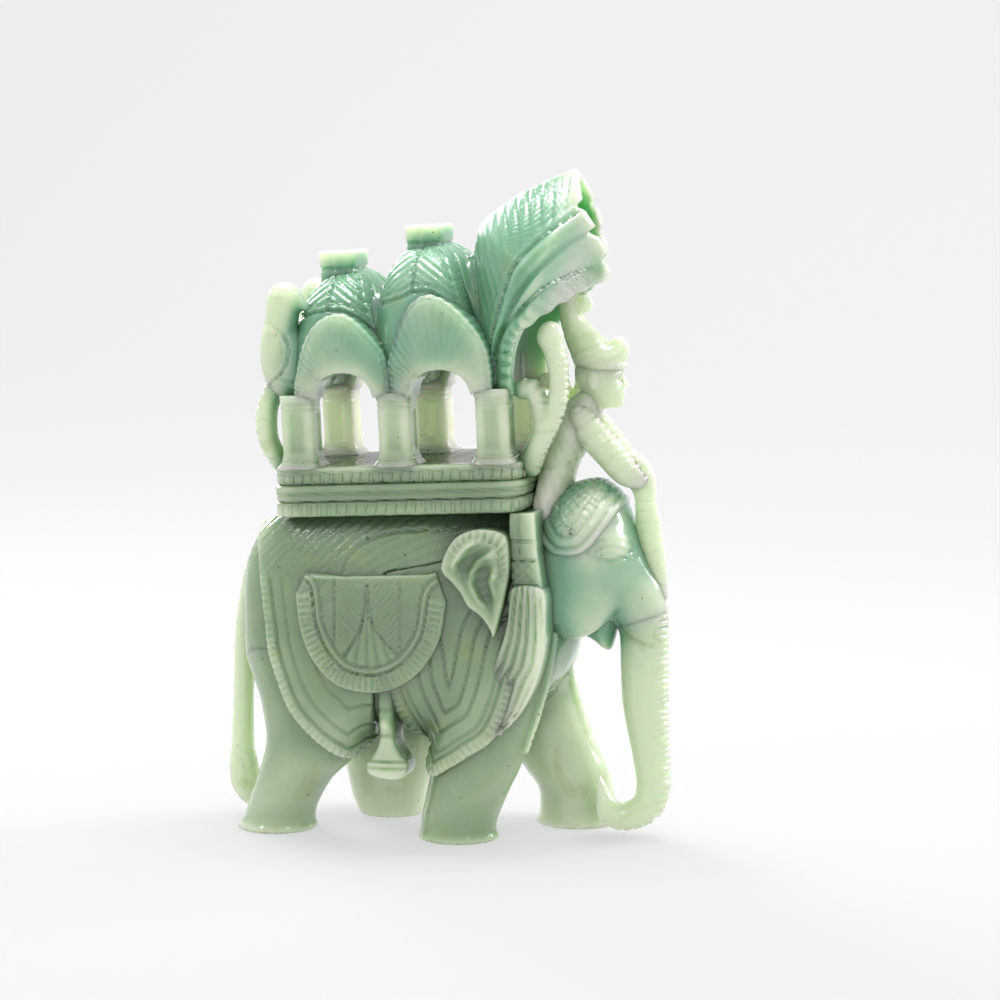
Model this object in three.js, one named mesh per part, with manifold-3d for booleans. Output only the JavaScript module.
// A carved stone elephant that carries a howdah, a mahout and two birds.
// Millimetres, +Z up, +X towards the trunk, -Y is the elephant's right side.
// The figure is a set of carved elements, each its own solid, fitted with a hairline joint.
import * as THREE from "three";
import { mergeVertices } from "three/addons/utils/BufferGeometryUtils.js";
import Module from "manifold-3d";

const wasm = await Module();
wasm.setup();

// ---------------------------------------------------------------- driving dimensions
const JOINT = 0.3; // hairline joint between neighbouring elements

const TORSO_LENGTH = 84;
const TORSO_WIDTH = 43;
const TORSO_HEIGHT = 60;
const TORSO_X = -5; // middle of the barrel
const BELLY_HEIGHT = 26; // ground to the lowest point of the barrel

const FOOT_RADIUS = 9.8;
const TRACK = 24.8; // between the soles, side to side
const STRIDE = 49; // between the hind and the fore sole of one side
const STEP = 24; // how far the left legs are ahead of the right ones
const HIND_FOOT_X = -36.5;

const HEAD_LENGTH = 30;
const HEAD_WIDTH = 31;
const HEAD_HEIGHT = 39;
const TRUNK_RADIUS = 6; // at the root
const TRUNK_TIP_RADIUS = 3.2;
const TRUNK_CLEARANCE = 2; // ground to the bottom of the trunk's curl
const TAIL_RADIUS = 2.7;
const EAR_THICKNESS = 4;

const CLOTH_THICKNESS = 1.5;
const RELIEF = 1.1; // how far the upper layer of the trappings stands above the lower
const STRAP_THICKNESS = 8;
const TASSEL_THICKNESS = 4.4;

const FLOOR_LENGTH = 65;
const FLOOR_WIDTH = 45;
const FLOOR_HEIGHT = 12.5;
const NECK_ROOM = 5.6; // from the platform's front edge to the chest
const HOWDAH_TILT = THREE.MathUtils.degToRad(3); // its front stands higher
const COLUMN_HEIGHT = 17;
const COLUMN_WIDTH = 9.4;
const COLUMN_FLARE = 1.3; // extra half width at the foot
const COLUMN_PITCH = 25.3; // along the platform
const COLUMN_TRACK = 33; // across it
const CANOPY_WIDTH = 43;
const DOME_RISE = [32, 37.5]; // rear and front dome, above the columns
const DOME_LEAN = [-3.4, -5.6]; // how far each dome sits back from its bay
const FINIAL_HEIGHT = 4.6;
const FINIAL_LENGTH = 11;
const FINIAL_WIDTH = 17;
const ARCH_WIDTH = 15;
const ARCH_RISE = 6;
const HOOD_LENGTH = 35.2;
const HOOD_HEIGHT = 68.6;
const HOOD_LEAN = 18; // degrees forward of the howdah's own upright
const HOOD_THICKNESS = 3.4;
const BIRD_HEIGHT = 26;
const SCROLL_RADIUS = 2.4;

const RIDER_HEIGHT = 18; // seat to shoulder
const RIDER_SHOULDER = 7.5; // half width
const RIDER_HEAD = 6; // half depth of the head
const GOAD_LENGTH = 36;

// ---------------------------------------------------------------- solids
// A cosine or sine pushed out towards a square; tiny values are zero so that seams close.
const squared = (value, power) =>
  Math.abs(value) < 1e-9 ? 0 : Math.sign(value) * Math.abs(value) ** (2 / power);

function solidOf(geometry, tolerance = 1e-4) {
  const bare = geometry.clone();
  bare.deleteAttribute("normal");
  bare.deleteAttribute("uv");
  const merged = mergeVertices(bare, tolerance);
  return new wasm.Manifold(
    new wasm.Mesh({
      numProp: 3,
      vertProperties: merged.attributes.position.array,
      triVerts: new Uint32Array(merged.index.array),
    }),
  );
}

function geometryOf(solid) {
  const mesh = solid.getMesh();
  const geometry = new THREE.BufferGeometry();
  geometry.setAttribute("position", new THREE.BufferAttribute(mesh.vertProperties, 3));
  geometry.setIndex(new THREE.BufferAttribute(mesh.triVerts, 1));
  return geometry;
}

// Every builder takes grow: the same solid with its skin moved out by that much.

// An ellipsoid, or with a power over 2 a squarer one.
function blob([x, y, z], half, { grow = 0, power = 2, around = 14, rings = 10 } = {}) {
  const geometry = new THREE.SphereGeometry(1, around, rings);
  geometry.rotateX(Math.PI / 2);
  const place = geometry.attributes.position;
  for (let i = 0; i < place.count; i++) {
    const spot = new THREE.Vector3().fromBufferAttribute(place, i);
    const flat = Math.hypot(spot.x, spot.y);
    const reach = squared(flat, power);
    place.setXYZ(
      i,
      x + (half[0] + grow) * reach * squared(spot.x / (flat || 1), power),
      y + (half[1] + grow) * reach * squared(spot.y / (flat || 1), power),
      z + (half[2] + grow) * squared(spot.z, power),
    );
  }
  return solidOf(geometry);
}

// A limb through stations [x, y, z, radius in the XZ plane, radius along Y].
function limb(stations, { grow = 0, around = 10, steps = 2, power = 2 } = {}) {
  const centres = new THREE.CatmullRomCurve3(
    stations.map(([x, y, z]) => new THREE.Vector3(x, y, z)),
  );
  const radii = new THREE.CatmullRomCurve3(
    stations.map(([, , , inPlane, across]) => new THREE.Vector3(inPlane, across, 0)),
  );
  const geometry = new THREE.CylinderGeometry(1, 1, 1, around, (stations.length - 1) * steps);
  const place = geometry.attributes.position;
  const sideways = new THREE.Vector3(0, 1, 0);
  for (let i = 0; i < place.count; i++) {
    const along = THREE.MathUtils.clamp(place.getY(i) + 0.5, 0, 1);
    const tangent = centres.getTangent(along);
    const normal = new THREE.Vector3().crossVectors(sideways, tangent).normalize();
    const across = new THREE.Vector3().crossVectors(normal, tangent);
    const radius = radii.getPoint(along);
    const end = along === 0 ? -grow : along === 1 ? grow : 0;
    const spot = centres
      .getPoint(along)
      .addScaledVector(tangent, end)
      .addScaledVector(normal, (radius.x + grow) * squared(place.getX(i), power))
      .addScaledVector(across, (radius.y + grow) * squared(place.getZ(i), power));
    place.setXYZ(i, spot.x, spot.y, spot.z);
  }
  return solidOf(geometry);
}

// A side-view outline given thickness from y = from to y = to.
function plate(shape, from, to, { grow = 0, curveSegments = 2 } = {}) {
  const geometry = new THREE.ExtrudeGeometry(shape, {
    depth: to - from,
    curveSegments,
    bevelEnabled: grow > 0,
    bevelSize: grow,
    bevelThickness: grow,
    bevelSegments: 1,
  });
  geometry.rotateX(Math.PI / 2);
  geometry.translate(0, to, 0);
  return solidOf(geometry);
}

// The same plate on the right (side -1) or the left (side 1) of the middle plane.
const flankPlate = (shape, side, inner, outer, options) =>
  side < 0 ? plate(shape, -outer, -inner, options) : plate(shape, inner, outer, options);

function block([x, y, z], size, grow = 0) {
  const geometry = new THREE.BoxGeometry(...size.map((length) => length + 2 * grow));
  geometry.translate(x, y, z);
  return solidOf(geometry);
}

// A closed smooth outline through side-view points.
function smooth(points) {
  const shape = new THREE.Shape();
  shape.moveTo(...points[0]);
  shape.splineThru([...points.slice(1), points[0]].map(([x, z]) => new THREE.Vector2(x, z)));
  return shape;
}

const straight = (points) => new THREE.Shape(points.map(([x, z]) => new THREE.Vector2(x, z)));

const union = (solids) => solids.reduce((joined, solid) => joined.add(solid));

// ---------------------------------------------------------------- frames
const middleHeight = BELLY_HEIGHT + TORSO_HEIGHT / 2;
const torsoRear = TORSO_X - TORSO_LENGTH / 2;
const torsoFront = TORSO_X + TORSO_LENGTH / 2;
const torsoTop = BELLY_HEIGHT + TORSO_HEIGHT;
const headMiddle = [torsoFront + 7, 0, torsoTop - 14.5];
const headFront = headMiddle[0] + HEAD_LENGTH / 2;
const headTop = headMiddle[2] + HEAD_HEIGHT / 2;

const SIDES = [
  ["right", -1],
  ["left", 1],
];
const figure = new THREE.Group();
const elephant = new THREE.Group();
const howdah = new THREE.Group(); // its origin is the middle of the platform's underside
const mahout = new THREE.Group(); // its origin is the seat on the elephant's neck
howdah.position.set(torsoFront - NECK_ROOM - FLOOR_LENGTH / 2, 0, torsoTop - 3.1);
howdah.rotation.y = -HOWDAH_TILT;
mahout.position.set(torsoFront, 0, headTop);
figure.add(elephant, howdah, mahout);
figure.updateMatrixWorld(true);

// ---------------------------------------------------------------- the elephant
const underground = () => block([0, 0, -20], [300, 200, 40]);
const overTorso = (grow) =>
  block([0, 0, 20 - JOINT + grow], [200, 100, 40]).transform(howdah.matrixWorld.elements);

const barrel = (grow) =>
  blob([TORSO_X, 0, middleHeight], [TORSO_LENGTH / 2, TORSO_WIDTH / 2, TORSO_HEIGHT / 2], {
    grow,
    power: 2.6,
    around: 18,
    rings: 12,
  });
const torso = (grow) => barrel(grow).subtract(overTorso(grow));

// From the sole up: share of the shoulder height, forward shift, share of the foot's radius.
const shoulderHeight = BELLY_HEIGHT + 23;
const LEGS = {
  hind_leg_right: {
    x: HIND_FOOT_X,
    side: -1,
    rise: [[0, 0, 1.05], [0.13, 1.8, 0.94], [0.27, 5, 1.03], [0.42, 9, 1.25], [1, 11, 1.42]],
  },
  fore_leg_right: {
    x: HIND_FOOT_X + STRIDE,
    side: -1,
    rise: [[0, 0, 1.04], [0.13, 0, 0.96], [0.27, 2, 1.02], [0.47, 5.4, 1.17], [1, 11, 1.28]],
  },
  hind_leg_left: {
    x: HIND_FOOT_X + STEP,
    side: 1,
    rise: [[0, 0, 0.88], [0.13, -0.6, 1], [0.27, -1, 1.12], [0.47, -2, 1.25], [1, -6, 1.4]],
  },
  fore_leg_left: {
    x: HIND_FOOT_X + STRIDE + STEP,
    side: 1,
    rise: [[0, 0, 1], [0.13, 0, 0.94], [0.3, -3.2, 1], [0.65, -10, 1.1], [1, -14.5, 1.2]],
  },
};
// A leg's top stays inside the flank of the barrel.
const shoulderAcross = (TORSO_WIDTH - TRACK) / 2 - 1;
function leg(name, grow) {
  const { x, side, rise } = LEGS[name];
  const stations = rise.map(([share, shift, girth]) => [
    x + shift,
    (side * TRACK) / 2,
    share * shoulderHeight,
    FOOT_RADIUS * girth,
    share < 1 ? FOOT_RADIUS * (0.6 + girth * 0.4) : shoulderAcross,
  ]);
  const [footX, footY, , footRadius, footAcross] = stations[0];
  return limb([[footX, footY, -5, footRadius, footAcross], ...stations], {
    grow,
    around: 12,
    steps: 2,
  }).subtract(underground());
}

const neck = (grow) =>
  limb(
    [
      [torsoFront - 18, 0, middleHeight + 6, 21, 17],
      [torsoFront - 6, 0, middleHeight + 14, 17.5, 15],
      [torsoFront + 4, 0, middleHeight + 18, 14.5, 13],
    ],
    { grow, around: 14 },
  ).subtract(overTorso(grow));

const [headX, , headZ] = headMiddle;
const head = (grow) =>
  union([
    blob(headMiddle, [HEAD_LENGTH / 2, HEAD_WIDTH / 2, HEAD_HEIGHT / 2], {
      grow,
      power: 2.15,
      around: 16,
      rings: 12,
    }),
    limb(
      [
        [headX + 3, 0, headZ + 5, 11, 11],
        [headX + 8.6, 0, headZ - 5, 8.6, 8.6],
        [headFront - 3.2, 0, headZ - 13, TRUNK_RADIUS + 0.4, TRUNK_RADIUS + 0.2],
      ],
      { grow },
    ),
  ]);

const headCap = (grow) => {
  const half = [HEAD_LENGTH / 2 + RELIEF, HEAD_WIDTH / 2 + RELIEF, HEAD_HEIGHT / 2 + RELIEF];
  const rim = headZ + 2.5;
  return blob(headMiddle, half, { grow, power: 2.15, around: 16, rings: 12 }).subtract(
    block([headX, 0, rim - 30 - grow], [80, 80, 60]),
  );
};

const trunkX = headFront - 2.4;
const trunkTop = headZ - 14.5;
const curl = TRUNK_CLEARANCE + TRUNK_TIP_RADIUS;
const trunk = (grow) =>
  limb(
    [
      [trunkX - 0.8, 0, trunkTop + 6, TRUNK_RADIUS, TRUNK_RADIUS - 0.4],
      [trunkX + 0.8, 0, trunkTop - 8, TRUNK_RADIUS - 0.1, TRUNK_RADIUS - 0.8],
      [trunkX + 1.2, 0, trunkTop - 22, TRUNK_RADIUS - 0.3, TRUNK_RADIUS - 1.2],
      [trunkX + 2.6, 0, curl + 16, TRUNK_RADIUS - 1.3, TRUNK_RADIUS - 1.6],
      [trunkX + 2.8, 0, curl + 8.4, TRUNK_RADIUS - 2, TRUNK_RADIUS - 2],
      [trunkX + 0.2, 0, curl + 2.6, TRUNK_TIP_RADIUS + 0.5, TRUNK_TIP_RADIUS + 0.5],
      [trunkX - 5.2, 0, curl + 0.2, TRUNK_TIP_RADIUS + 0.2, TRUNK_TIP_RADIUS + 0.4],
      [trunkX - 10.2, 0, curl + 2.8, TRUNK_TIP_RADIUS + 0.4, TRUNK_TIP_RADIUS + 0.2],
      [trunkX - 12.2, 0, curl + 7.4, TRUNK_TIP_RADIUS + 0.2, TRUNK_TIP_RADIUS],
      [trunkX - 13, 0, curl + 11, TRUNK_TIP_RADIUS - 0.6, TRUNK_TIP_RADIUS - 0.4],
    ],
    { grow },
  );

const jaw = (grow) =>
  limb(
    [
      [headX - 6, 0, headZ - 10, 8.5, 8],
      [headX + 1.4, 0, headZ - 17.6, 5.4, 6],
      [headX + 4.6, 0, headZ - 23, 1.8, 2.4],
    ],
    { grow },
  );

const earShape = smooth(
  [
    [-0.4, 15.7], [4, 22.6], [11, 24.4], [16.4, 22.8], [17, 14],
    [15.4, 4], [13.6, -2], [11, 1.6], [6.6, 5], [3, 10.6],
  ].map(([x, z]) => [torsoFront - 25.5 + x, middleHeight + z]),
);
const ear = (side, grow) =>
  flankPlate(earShape, side, TORSO_WIDTH / 2 - 2, TORSO_WIDTH / 2 - 2 + EAR_THICKNESS, {
    grow,
  });

const tail = (grow) =>
  limb(
    [
      [torsoRear + 5, 0, middleHeight + 17, TAIL_RADIUS, TAIL_RADIUS + 0.4],
      [torsoRear, 0, middleHeight + 10, TAIL_RADIUS + 0.2, TAIL_RADIUS],
      [torsoRear - 2.2, 0, middleHeight - 4, TAIL_RADIUS, TAIL_RADIUS],
      [torsoRear - 2.8, 0, middleHeight - 24, TAIL_RADIUS - 0.2, TAIL_RADIUS - 0.2],
      [torsoRear - 3, 0, middleHeight - 38, TAIL_RADIUS - 0.1, TAIL_RADIUS],
      [torsoRear - 2.6, 0, middleHeight - 45, TAIL_RADIUS + 0.8, TAIL_RADIUS + 0.6],
      [torsoRear - 1.6, 0, middleHeight - 52, TAIL_RADIUS - 0.6, TAIL_RADIUS - 0.4],
    ],
    { grow, around: 8 },
  );

// ---------------------------------------------------------------- the trappings
const legsOf = (side) => Object.keys(LEGS).filter((name) => LEGS[name].side === side);
const hide = (side, grow) =>
  union([barrel(grow), ...legsOf(side).map((name) => leg(name, grow))]);

// A layer of cloth over one flank: the hide grown outwards inside a side-view outline.
const layer = (shape, depth) => (side, grow) =>
  hide(side, depth + grow)
    .intersect(flankPlate(shape, side, 4, TORSO_WIDTH, { grow }))
    .subtract(hide(side, Math.max(JOINT - grow, 0)))
    .subtract(overTorso(grow));

// The cloth is laid out from the middle of the barrel, in lengths of a barrel this long.
const DRAWN_LENGTH = 84;
const onFlank = ([x, z]) => [TORSO_X + (x * TORSO_LENGTH) / DRAWN_LENGTH, middleHeight + z];
const atChest = ([x, z]) => [torsoFront + x, middleHeight + z];
const platformRear = howdah.position.x - FLOOR_LENGTH / 2;
const LAYERS = {
  rear_lobe: layer(
    smooth([
      ...[
        [-38, 24], [-35, 8], [-32, -4], [-27, -16], [-19, -28], [-10, -36.5], [-5, -35],
        [-3.4, -16], [-6, 12],
      ].map(onFlank),
      [platformRear + 16.6, middleHeight + 30], // runs under the platform
      onFlank([-30, 32]),
    ]),
    CLOTH_THICKNESS,
  ),
  front_lobe: layer(
    smooth([
      [-2.6, -15], [1, -28], [10.4, -39.4], [20, -34], [31, -26],
      [36, -10], [36, 10], [30, 28], [14, 32], [3, 24],
    ].map(onFlank)),
    CLOTH_THICKNESS,
  ),
  medallion: layer(
    smooth([
      [-25.4, 7], [-21.5, 11.4], [-2, 12.4], [12.6, 13], [16.6, 7],
      [11, -8], [4, -15], [-4, -17.4], [-12, -14.6], [-20.4, -5],
    ].map(onFlank)),
    CLOTH_THICKNESS + RELIEF,
  ),
};

const strapShape = straight([[-8.8, 28.6], [-3.4, 28.6], [-0.8, 9.8], [-8.4, 9.8]].map(atChest));
const skirtShape = smooth([
  [-8, 9.6], [-9.6, 0], [-13, -9.6], [-14.6, -16], [-14, -22], [-11.8, -27.8],
  [-6.4, -21.6], [-2.4, -14.6], [-0.2, -5], [-0.4, 4], [-1, 9.6],
].map(atChest));
const hanging = (shape, proud) => (side, grow) => {
  const outer = TORSO_WIDTH / 2 - 0.5 + proud;
  const inner = Math.min(outer - STRAP_THICKNESS, HEAD_WIDTH / 2 - 2.5);
  return flankPlate(shape, side, inner, outer, { grow });
};
const tasselShape = smooth([
  [2.4, -14], [2.4, -24], [3, -29.6], [6.4, -36.4], [4, -39.6],
  [-4.4, -39.4], [-5, -36], [-1.8, -29.6], [-1.4, -24], [-1.4, -14],
].map(onFlank));
const tassel = (side, grow) => {
  const outer = TORSO_WIDTH / 2 + CLOTH_THICKNESS;
  return flankPlate(tasselShape, side, outer - TASSEL_THICKNESS, outer, { grow });
};
const strap = hanging(strapShape, 0);
const skirt = hanging(skirtShape, RELIEF);

// ---------------------------------------------------------------- the howdah
const columnTop = FLOOR_HEIGHT + COLUMN_HEIGHT;
const rearEnd = -FLOOR_LENGTH / 2;
const frontEnd = FLOOR_LENGTH / 2;

const floorBlock = (grow) =>
  block([0, 0, FLOOR_HEIGHT / 2], [FLOOR_LENGTH - 4, FLOOR_WIDTH - 4, FLOOR_HEIGHT], grow);

// Mouldings round the platform: share of its height from and to, and how far it stands out.
const MOULDINGS = {
  lower_moulding: [0, 0.3, 0.7],
  middle_moulding: [0.33, 0.6, 0],
  upper_moulding: [0.63, 1, 0.4],
};
const moulding = ([from, to, proud], grow) =>
  block(
    [0, 0, ((from + to) / 2) * FLOOR_HEIGHT],
    [FLOOR_LENGTH + 2 * proud, FLOOR_WIDTH + 2 * proud, (to - from) * FLOOR_HEIGHT],
    grow,
  ).subtract(floorBlock(JOINT - grow));

const COLUMNS = ["rear", "middle", "front"].flatMap((place, i) =>
  SIDES.map(([name, side]) => ({
    name: `${place}_column_${name}`,
    x: (i - 1) * COLUMN_PITCH,
    y: (side * COLUMN_TRACK) / 2,
  })),
);
const column = ({ x, y }, grow) => {
  const half = COLUMN_WIDTH / 2;
  const foot = half + COLUMN_FLARE;
  return limb(
    [
      [x, y, FLOOR_HEIGHT + JOINT, foot, foot],
      [x, y, FLOOR_HEIGHT + 4, half, half],
      [x, y, columnTop - 4, half - 0.5, half - 0.5],
      [x, y, columnTop - JOINT, half, half],
    ],
    { grow, power: 5, around: 8, steps: 1 },
  );
};

const BAYS = [-COLUMN_PITCH / 2, COLUMN_PITCH / 2]; // rear and front
const archShape = (x) => {
  const arch = new THREE.Shape();
  arch.moveTo(x - ARCH_WIDTH / 2, 0);
  arch.lineTo(x - ARCH_WIDTH / 2, columnTop);
  arch.absellipse(x, columnTop, ARCH_WIDTH / 2, ARCH_RISE, Math.PI, 0, true);
  arch.lineTo(x + ARCH_WIDTH / 2, 0);
  return arch;
};
const fanShape = (x) => {
  const reach = COLUMN_PITCH / 2 - JOINT / 2;
  const crown = columnTop + 21;
  const fan = new THREE.Shape();
  fan.moveTo(x - reach, columnTop);
  fan.bezierCurveTo(x - reach, columnTop + 12, x - 8, crown, x, crown);
  fan.bezierCurveTo(x + 8, crown, x + reach, columnTop + 12, x + reach, columnTop);
  return fan;
};
const valance = (bay, side, grow) =>
  flankPlate(fanShape(BAYS[bay]), side, CANOPY_WIDTH / 2 - 5, CANOPY_WIDTH / 2 + RELIEF, {
    grow,
    curveSegments: 5,
  }).subtract(plate(archShape(BAYS[bay]), -CANOPY_WIDTH, CANOPY_WIDTH, { curveSegments: 8 }));

const dome = (bay, grow) => {
  const x = BAYS[bay] + DOME_LEAN[bay];
  const foot = columnTop + 8;
  return union([
    blob(
      [x, 0, foot],
      [COLUMN_PITCH / 2 + 1.4, CANOPY_WIDTH / 2, DOME_RISE[bay] - 8],
      { grow, power: 2.4, around: 16, rings: 8 },
    ),
    block([BAYS[bay], 0, columnTop + 5.4], [COLUMN_PITCH, CANOPY_WIDTH - 1, 10], grow),
  ])
    .subtract(block([BAYS[bay], 0, columnTop - 20 - grow], [90, 90, 40]))
    .subtract(plate(archShape(BAYS[bay]), -CANOPY_WIDTH, CANOPY_WIDTH, { curveSegments: 8 }));
};

const finial = (bay, grow) => {
  const x = BAYS[bay] + DOME_LEAN[bay] - 1;
  const z = columnTop + DOME_RISE[bay];
  const half = FINIAL_LENGTH / 2;
  const across = FINIAL_WIDTH / 2;
  return limb(
    [
      [x, 0, z - 3, half - 1, across - 1.4],
      [x, 0, z + FINIAL_HEIGHT / 2, half - 0.7, across - 1],
      [x, 0, z + FINIAL_HEIGHT, half, across],
    ],
    { grow, power: 6, around: 12 },
  );
};

// The palm hood over the mahout: an open shell that leans forward, split down the middle and
// cut to the leaf's drooping edge.
const hoodMiddle = [COLUMN_PITCH + 9.5, 0, columnTop + 20.6];
const hoodShape = smooth(
  [
    [-24, -25], [-26, 10], [-10, 38], [8, 42], [14, 28], [24, 12], [22, 3.4],
    [13, 2.2], [5, -2.4], [-1.4, -8], [-4.6, -14], [-5.6, -25], [-16, -28],
  ].map(([x, z]) => [hoodMiddle[0] + x, hoodMiddle[2] + z]),
);
function hood(side, grow) {
  const half = [HOOD_LENGTH / 2, HOOD_HEIGHT / 2, CANOPY_WIDTH / 2 + 0.5];
  const shell = (halves, offset) =>
    blob([0, 0, 0], halves, { grow: offset, power: 2.1, around: 20, rings: 13 })
      .rotate(90, 0, 0)
      .rotate(0, HOOD_LEAN, 0)
      .translate(...hoodMiddle);
  return shell(half, grow)
    .subtract(shell(half.map((length) => length - HOOD_THICKNESS), -grow))
    .intersect(flankPlate(hoodShape, side, JOINT / 2 - grow, CANOPY_WIDTH));
}

const carvedY = COLUMN_TRACK / 2 - 3; // the birds and scrolls stand a little inside the columns
const bird = (side, grow) => {
  const y = side * carvedY;
  const x = rearEnd + 0.8;
  const share = (part) => columnTop + 3 + part * BIRD_HEIGHT;
  return union([
    limb(
      [
        [x + 2.4, y, share(0), 3, 3.4],
        [x + 1.4, y, share(0.24), 5, 4.8],
        [x + 2.2, y, share(0.56), 5, 4.8],
        [x + 3.6, y, share(0.84), 3.9, 3.9],
        [x + 4.4, y, share(0.96), 3, 3],
        [x + 4.4, y, share(1), 1, 1],
      ],
      { grow, around: 8 },
    ),
    limb(
      [
        [x + 3.6, y, share(0.84), 2.4, 2],
        [x + 8.4, y, share(0.68), 1.2, 1],
      ],
      { grow, around: 8 },
    ),
  ]);
};

const rearScroll = (side, grow) => {
  const y = side * carvedY;
  return limb(
    [
      [rearEnd + 0.4, y, columnTop + 2.6],
      [rearEnd - 2.6, y, columnTop - 2.4],
      [rearEnd - 3.2, y, columnTop - 7],
      [rearEnd - 2, y, FLOOR_HEIGHT + 4.4],
      [rearEnd + 0.6, y, FLOOR_HEIGHT + JOINT],
    ].map((at) => [...at, SCROLL_RADIUS, SCROLL_RADIUS]),
    { grow },
  );
};

const frontScroll = (side, grow) => {
  const y = side * carvedY;
  const thick = ([x, z]) => [frontEnd + x, y, z, SCROLL_RADIUS, SCROLL_RADIUS];
  const foot = FLOOR_HEIGHT + JOINT;
  return union([
    limb(
      [
        [7.6, columnTop + 14.8],
        [7, columnTop + 11],
        [9.2, columnTop + 4],
        [8.8, columnTop - 2.4],
        [5.8, columnTop - 9],
        [1.8, foot + 1],
      ].map(thick),
      { grow, around: 8 },
    ),
    limb(
      [
        [-1, columnTop + 3.4],
        [2.8, columnTop + 2],
        [4.4, columnTop - 4],
        [3.2, columnTop - 10],
        [0, foot + 1],
      ].map(thick),
      { grow, around: 8 },
    ),
  ]);
};

// ---------------------------------------------------------------- the mahout
const riderTorso = (grow) =>
  limb(
    [
      [-3, 0, -6, 8, 11],
      [-1.4, 0, 1, 5, 7.6],
      [-0.6, 0, RIDER_HEIGHT * 0.45, 4.6, 6],
      [2.6, 0, RIDER_HEIGHT * 0.85, 5.2, RIDER_SHOULDER],
      [6.2, 0, RIDER_HEIGHT + 1.6, 3, 3.4],
    ],
    { grow },
  );

const riderFace = [9, 0, RIDER_HEIGHT + 7.4];
const riderHead = (grow) =>
  blob(riderFace, [RIDER_HEAD, RIDER_HEAD - 0.6, RIDER_HEAD + 1.6], { grow, around: 12 });

const [faceX, , faceZ] = riderFace;
const headdress = (grow) =>
  limb(
    [
      [faceX + 3.4, 0, faceZ + 8, 2.6, 5],
      [faceX + 0.4, 0, faceZ + 7.6, 3.6, 6],
      [faceX - 4, 0, faceZ + 11, 3.6, 4.6],
      [faceX - 7, 0, faceZ + 18, 2.8, 3.4],
      [faceX - 8, 0, faceZ + 23, 2.4, 3],
    ],
    { grow },
  );

const cuffX = 18.6;
const cuffZ = 3.4;
const riderArm = (side, grow) =>
  limb(
    [
      [5, side * (RIDER_SHOULDER - 0.4), RIDER_HEIGHT * 0.8, 3.6, 3],
      [cuffX - 9, side * 6.2, RIDER_HEIGHT * 0.5, 3.6, 2.8],
      [cuffX - 2.4, side * 3.6, cuffZ + 1.6, 3.8, 2.5],
      [cuffX - 0.2, side * 2.4, cuffZ - 1.6, 3, 2],
    ],
    { grow, around: 8 },
  );

const goad = (grow) =>
  limb(
    [
      [cuffX + 0.8, 0, cuffZ + 2, 3.2, 2.2],
      [cuffX + 2, 0, cuffZ - GOAD_LENGTH * 0.15, 3.4, 2.2],
      [cuffX + 3.6, 0, cuffZ - GOAD_LENGTH * 0.4, 3.2, 2],
      [cuffX + 5.6, 0, cuffZ - GOAD_LENGTH * 0.66, 2.8, 1.9],
      [cuffX + 6.8, 0, cuffZ - GOAD_LENGTH * 0.94, 1.2, 1.2],
    ],
    { grow, around: 8 },
  );

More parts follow.
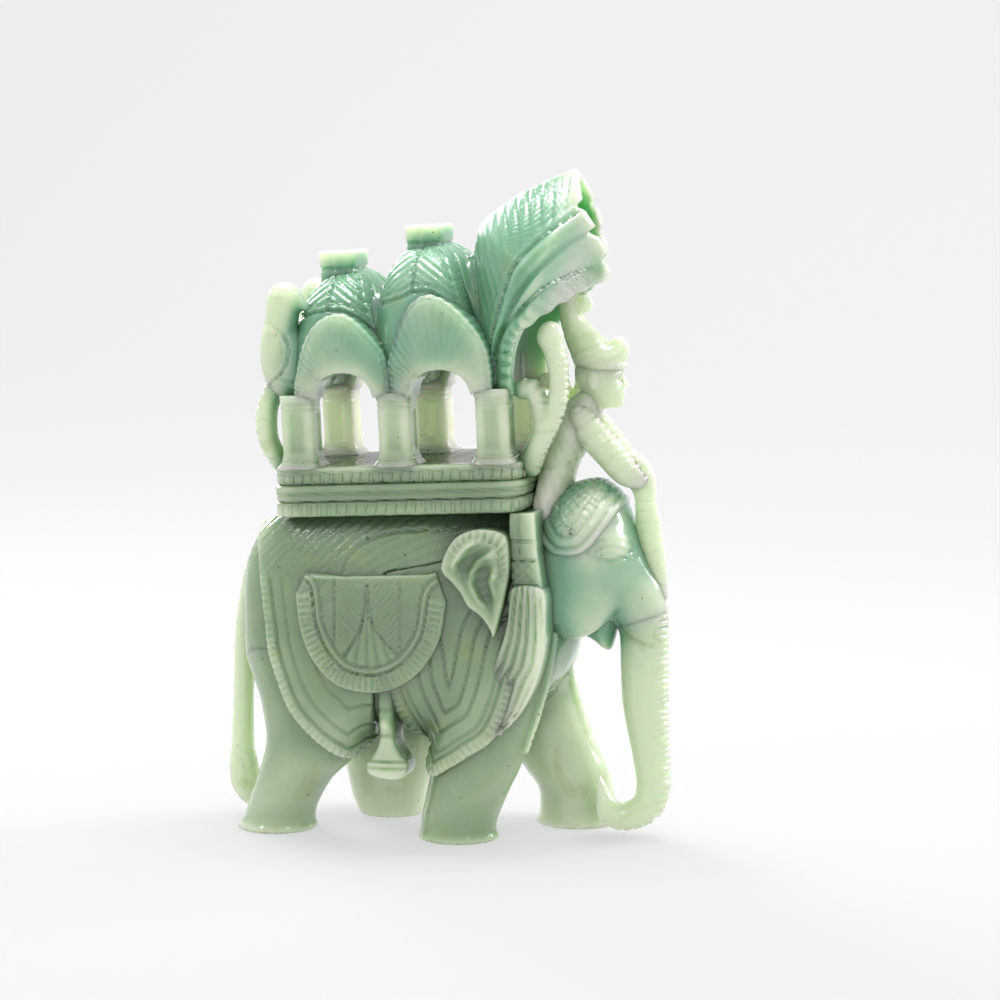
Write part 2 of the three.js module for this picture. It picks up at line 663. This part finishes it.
// ---------------------------------------------------------------- the assembly
// Each element is cut back from the ones before it, by the hairline joint.
const elements = [
  [elephant, "torso", torso],
  ...Object.keys(LEGS).map((name) => [elephant, name, (grow) => leg(name, grow)]),
  [elephant, "head", head],
  [elephant, "head_cap", headCap],
  [elephant, "neck", neck],
  [elephant, "trunk", trunk],
  [elephant, "lower_jaw", jaw],
  [howdah, "platform", floorBlock],
  ...Object.entries(MOULDINGS).map(([name, band]) => [
    howdah,
    name,
    (grow) => moulding(band, grow),
  ]),
  ...SIDES.flatMap(([name, side]) => [
    [elephant, `ear_${name}`, (grow) => ear(side, grow)],
    [elephant, `neck_strap_${name}`, (grow) => strap(side, grow)],
    [elephant, `strap_skirt_${name}`, (grow) => skirt(side, grow)],
    [elephant, `tassel_${name}`, (grow) => tassel(side, grow)],
    ...["medallion", "front_lobe", "rear_lobe"].map((what) => [
      elephant,
      `${what}_${name}`,
      (grow) => LAYERS[what](side, grow),
    ]),
  ]),
  [elephant, "tail", tail],
  ...COLUMNS.map((place) => [howdah, place.name, (grow) => column(place, grow)]),
  ...SIDES.flatMap(([name, side]) => [
    [howdah, `rear_valance_${name}`, (grow) => valance(0, side, grow)],
    [howdah, `front_valance_${name}`, (grow) => valance(1, side, grow)],
  ]),
  [howdah, "front_dome", (grow) => dome(1, grow)],
  [howdah, "rear_dome", (grow) => dome(0, grow)],
  [howdah, "front_finial", (grow) => finial(1, grow)],
  [howdah, "rear_finial", (grow) => finial(0, grow)],
  ...SIDES.flatMap(([name, side]) => [
    [howdah, `palm_hood_${name}`, (grow) => hood(side, grow)],
    [howdah, `bird_${name}`, (grow) => bird(side, grow)],
    [howdah, `rear_scroll_${name}`, (grow) => rearScroll(side, grow)],
    [howdah, `front_scroll_${name}`, (grow) => frontScroll(side, grow)],
  ]),
  [mahout, "mahout_head", riderHead],
  [mahout, "mahout_headdress", headdress],
  [mahout, "mahout_torso", riderTorso],
  [mahout, "mahout_arm_right", (grow) => riderArm(-1, grow)],
  [mahout, "mahout_arm_left", (grow) => riderArm(1, grow)],
  [mahout, "goad", goad],
];

// The stone is palest where it is thin.
const THIN = /tail|mahout|goad|scroll|finial|bird|trunk/;
const DEEP = /dome|valance|column|hood/;
const stone = (name) =>
  new THREE.MeshStandardMaterial({
    name: `${name}_stone`,
    color: THIN.test(name) ? 0xc6d8b4 : DEEP.test(name) ? 0x8cc4a4 : 0x93b89c,
    roughness: 0.22,
    metalness: 0,
  });

const overlap = (a, b) => [0, 1, 2].every((k) => a.min[k] < b.max[k] && b.min[k] < a.max[k]);
// The biggest body that a cut leaves, once slivers thinner than the tolerance have closed up.
const largest = (solid) =>
  solidOf(geometryOf(solid), 2e-3)
    .decompose()
    .sort((a, b) => b.volume() - a.volume())[0];

const earlier = [];
for (const [group, name, build] of elements) {
  const world = group.matrixWorld.elements;
  let solid = build(0).transform(world);
  for (const other of earlier) {
    if (overlap(solid.boundingBox(), other.boundingBox())) solid = solid.subtract(other);
  }
  earlier.push(build(JOINT).transform(world));

  const geometry = geometryOf(
    largest(solid).transform(group.matrixWorld.clone().invert().elements),
  );
  geometry.computeBoundingBox();
  const mesh = new THREE.Mesh(geometry, stone(name));
  mesh.name = name;
  geometry.boundingBox.getCenter(mesh.position);
  geometry.translate(...mesh.position.toArray().map((value) => -value));
  geometry.computeVertexNormals();
  group.add(mesh);
}

// The origin is the middle of the footprint, on the ground.
const box = new THREE.Box3().setFromObject(figure, true);
const middle = box.getCenter(new THREE.Vector3());
figure.position.set(-middle.x, -middle.y, -box.min.z);

export default figure;
